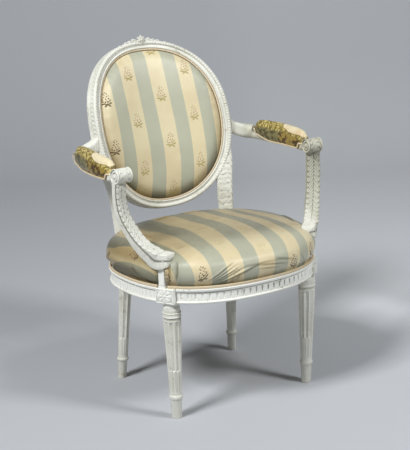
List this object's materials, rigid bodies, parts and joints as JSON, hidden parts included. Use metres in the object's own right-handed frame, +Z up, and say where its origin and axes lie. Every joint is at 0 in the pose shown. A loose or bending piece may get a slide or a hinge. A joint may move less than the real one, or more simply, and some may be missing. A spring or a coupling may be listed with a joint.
{
  "type": "fauteuil",
  "caption": "Painted medallion-back armchair with turned fluted legs, scrolled open arms, padded armrests and a stuffed striped silk seat and back.",
  "frame": {"origin": "middle of the footprint's box, on the floor", "axes": "+Z up, -Y to the front where the sitter faces, +X to the sitter's left"},
  "size_m": [0.6242, 0.591, 0.9036],
  "materials": {
    "painted_wood": "worn grey-white paint",
    "bare_beech": "bare",
    "striped_silk": "satin stripes with small sprigs",
    "pad_silk": "satin brocade",
    "gimp_braid": "woven braid",
    "horsehair": "matt",
    "hessian": "coarse weave",
    "webbing": "woven"
  },
  "bodies": {
    "root": {"arm_left": "painted_wood", "arm_pad_cover_left": "pad_silk", "arm_pad_cover_right": "pad_silk", "arm_pad_gimp_left": "gimp_braid", "arm_pad_gimp_right": "gimp_braid", "arm_pad_stuffing_left": "horsehair", "arm_pad_stuffing_right": "horsehair", "arm_right": "painted_wood", "arm_support_left": "painted_wood", "arm_support_right": "painted_wood", "back_cover": "striped_silk", "back_gimp_front": "gimp_braid", "back_gimp_rear": "gimp_braid", "back_hessian": "hessian", "back_outside_cover": "striped_silk", "back_stuffing": "horsehair", "front_corner_brace_left": "bare_beech", "front_corner_brace_right": "bare_beech", "front_leg_left": "painted_wood", "front_leg_right": "painted_wood", "front_rail": "painted_wood", "medallion_bottom_rail": "painted_wood", "medallion_top_rail": "painted_wood", "peg_front_rail_left": "bare_beech", "peg_front_rail_right": "bare_beech", "peg_medallion_bottom_left": "bare_beech", "peg_medallion_bottom_right": "bare_beech", "peg_medallion_top_left": "bare_beech", "peg_medallion_top_right": "bare_beech", "peg_rear_rail_left": "bare_beech", "peg_rear_rail_right": "bare_beech", "peg_side_rail_front_left": "bare_beech", "peg_side_rail_front_right": "bare_beech", "peg_side_rail_rear_left": "bare_beech", "peg_side_rail_rear_right": "bare_beech", "rear_corner_brace_left": "bare_beech", "rear_corner_brace_right": "bare_beech", "rear_leg_left": "painted_wood", "rear_leg_right": "painted_wood", "rear_rail": "painted_wood", "seat_cover": "striped_silk", "seat_gimp_back": "gimp_braid", "seat_gimp_front": "gimp_braid", "seat_gimp_left": "gimp_braid", "seat_gimp_right": "gimp_braid", "seat_hessian": "hessian", "seat_stuffing": "horsehair", "seat_web_crosswise_1": "webbing", "seat_web_crosswise_2": "webbing", "seat_web_crosswise_3": "webbing", "seat_web_crosswise_4": "webbing", "seat_web_lengthwise_1": "webbing", "seat_web_lengthwise_2": "webbing", "seat_web_lengthwise_3": "webbing", "seat_web_lengthwise_4": "webbing", "side_rail_left": "painted_wood", "side_rail_right": "painted_wood"}
  },
  "joints": []
}
